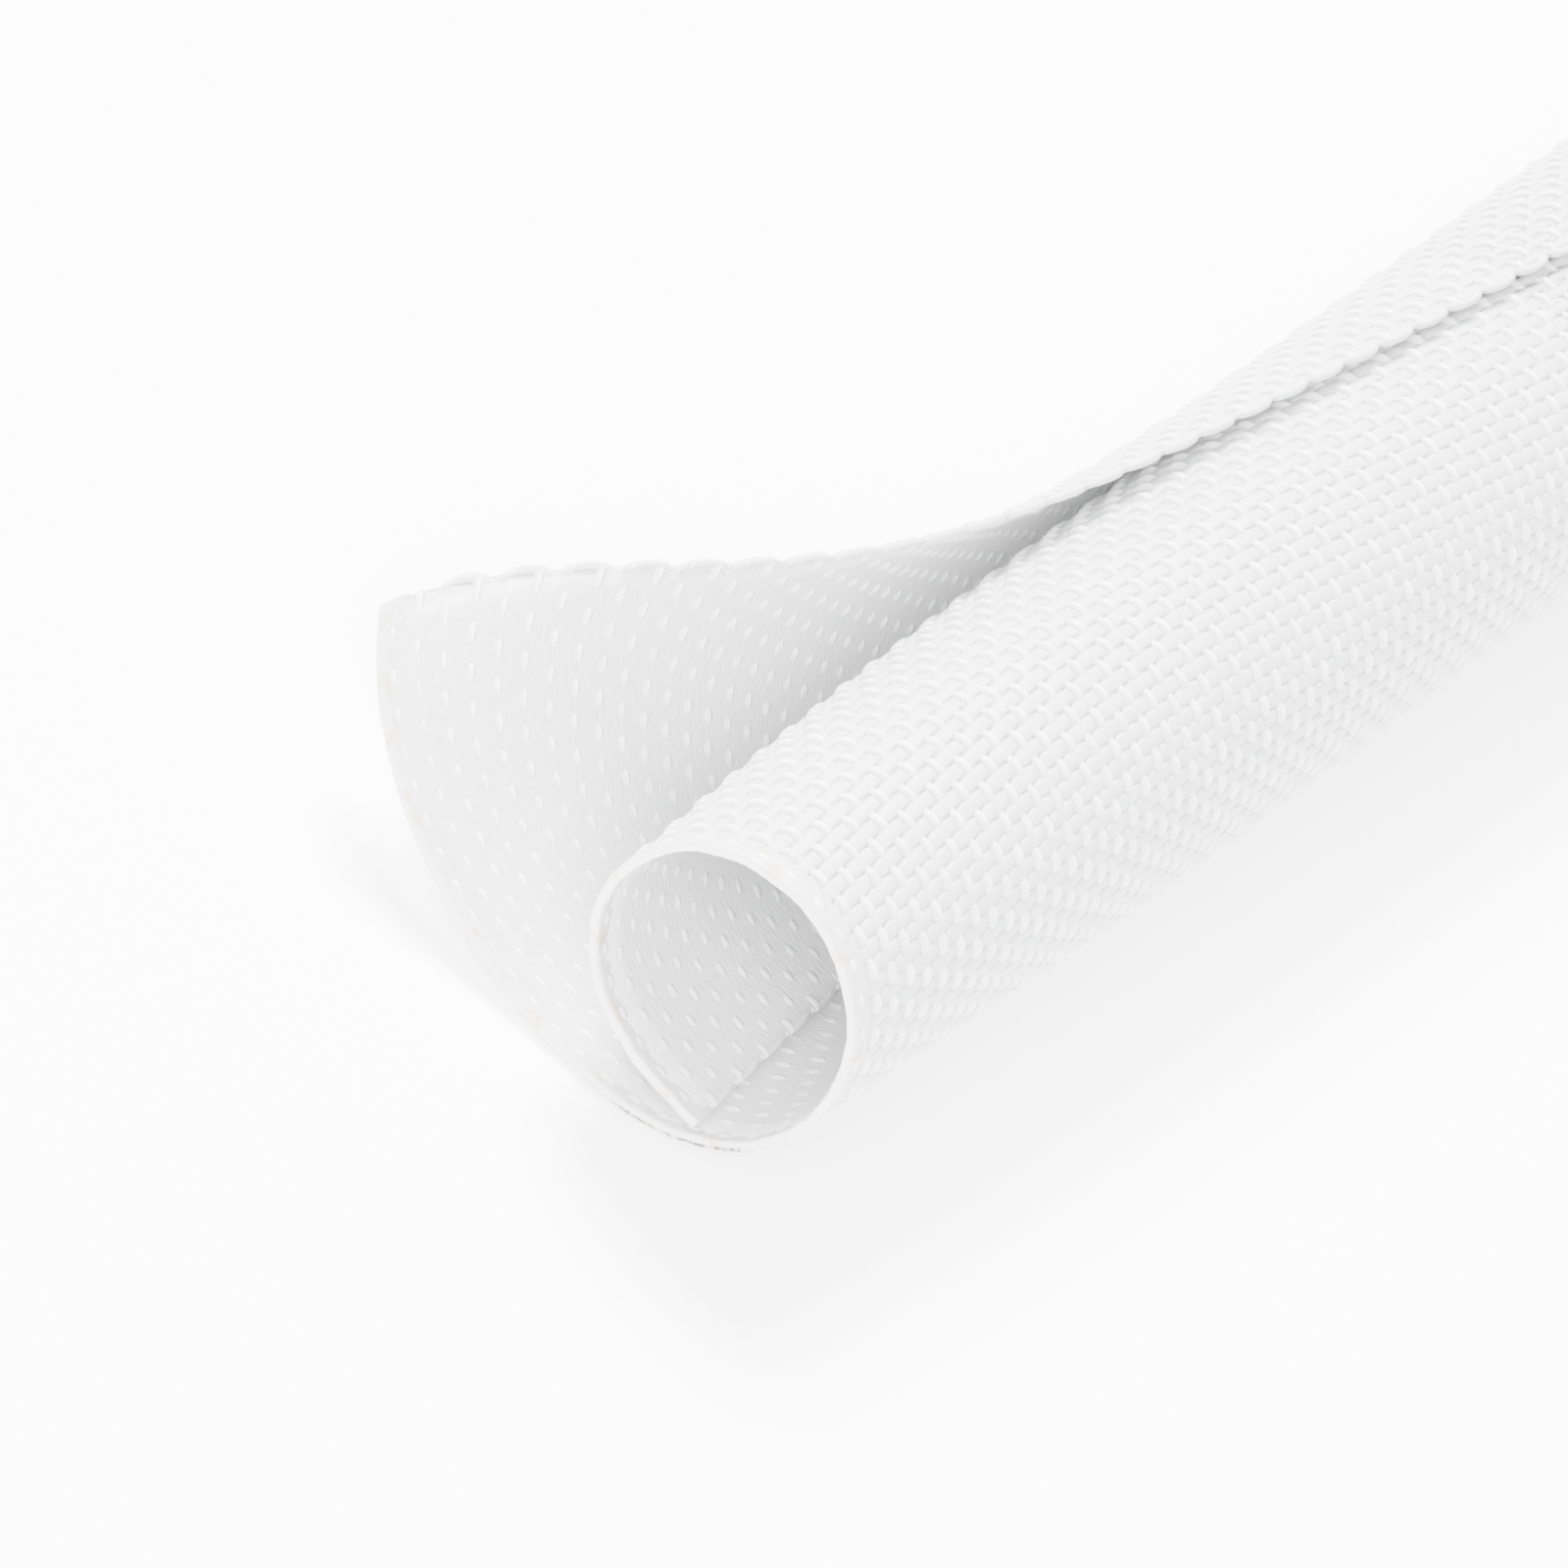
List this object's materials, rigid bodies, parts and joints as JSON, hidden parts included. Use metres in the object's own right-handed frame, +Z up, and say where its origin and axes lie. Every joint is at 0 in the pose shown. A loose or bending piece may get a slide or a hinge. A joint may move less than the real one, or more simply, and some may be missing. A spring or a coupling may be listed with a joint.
{
  "type": "self-closing woven cable sleeve",
  "caption": "White woven fabric strip curled into an overlapping tube that wraps round a cable bundle, its flap opened at one cut end.",
  "frame": {"origin": "on the floor under the middle of the tube, halfway along", "axes": "+X along the sleeve from the opened end to the closed end, +Z up, +Y towards the side where the opened flap leans out"},
  "size_m": [0.3046, 0.03, 0.0168],
  "materials": {
    "woven_sleeve": "white woven polyester, plain weave of shiny cross yarns and matt lengthwise yarns, cut ends sealed with heat"
  },
  "bodies": {
    "root": {"woven_sleeve": "woven_sleeve"}
  },
  "joints": []
}
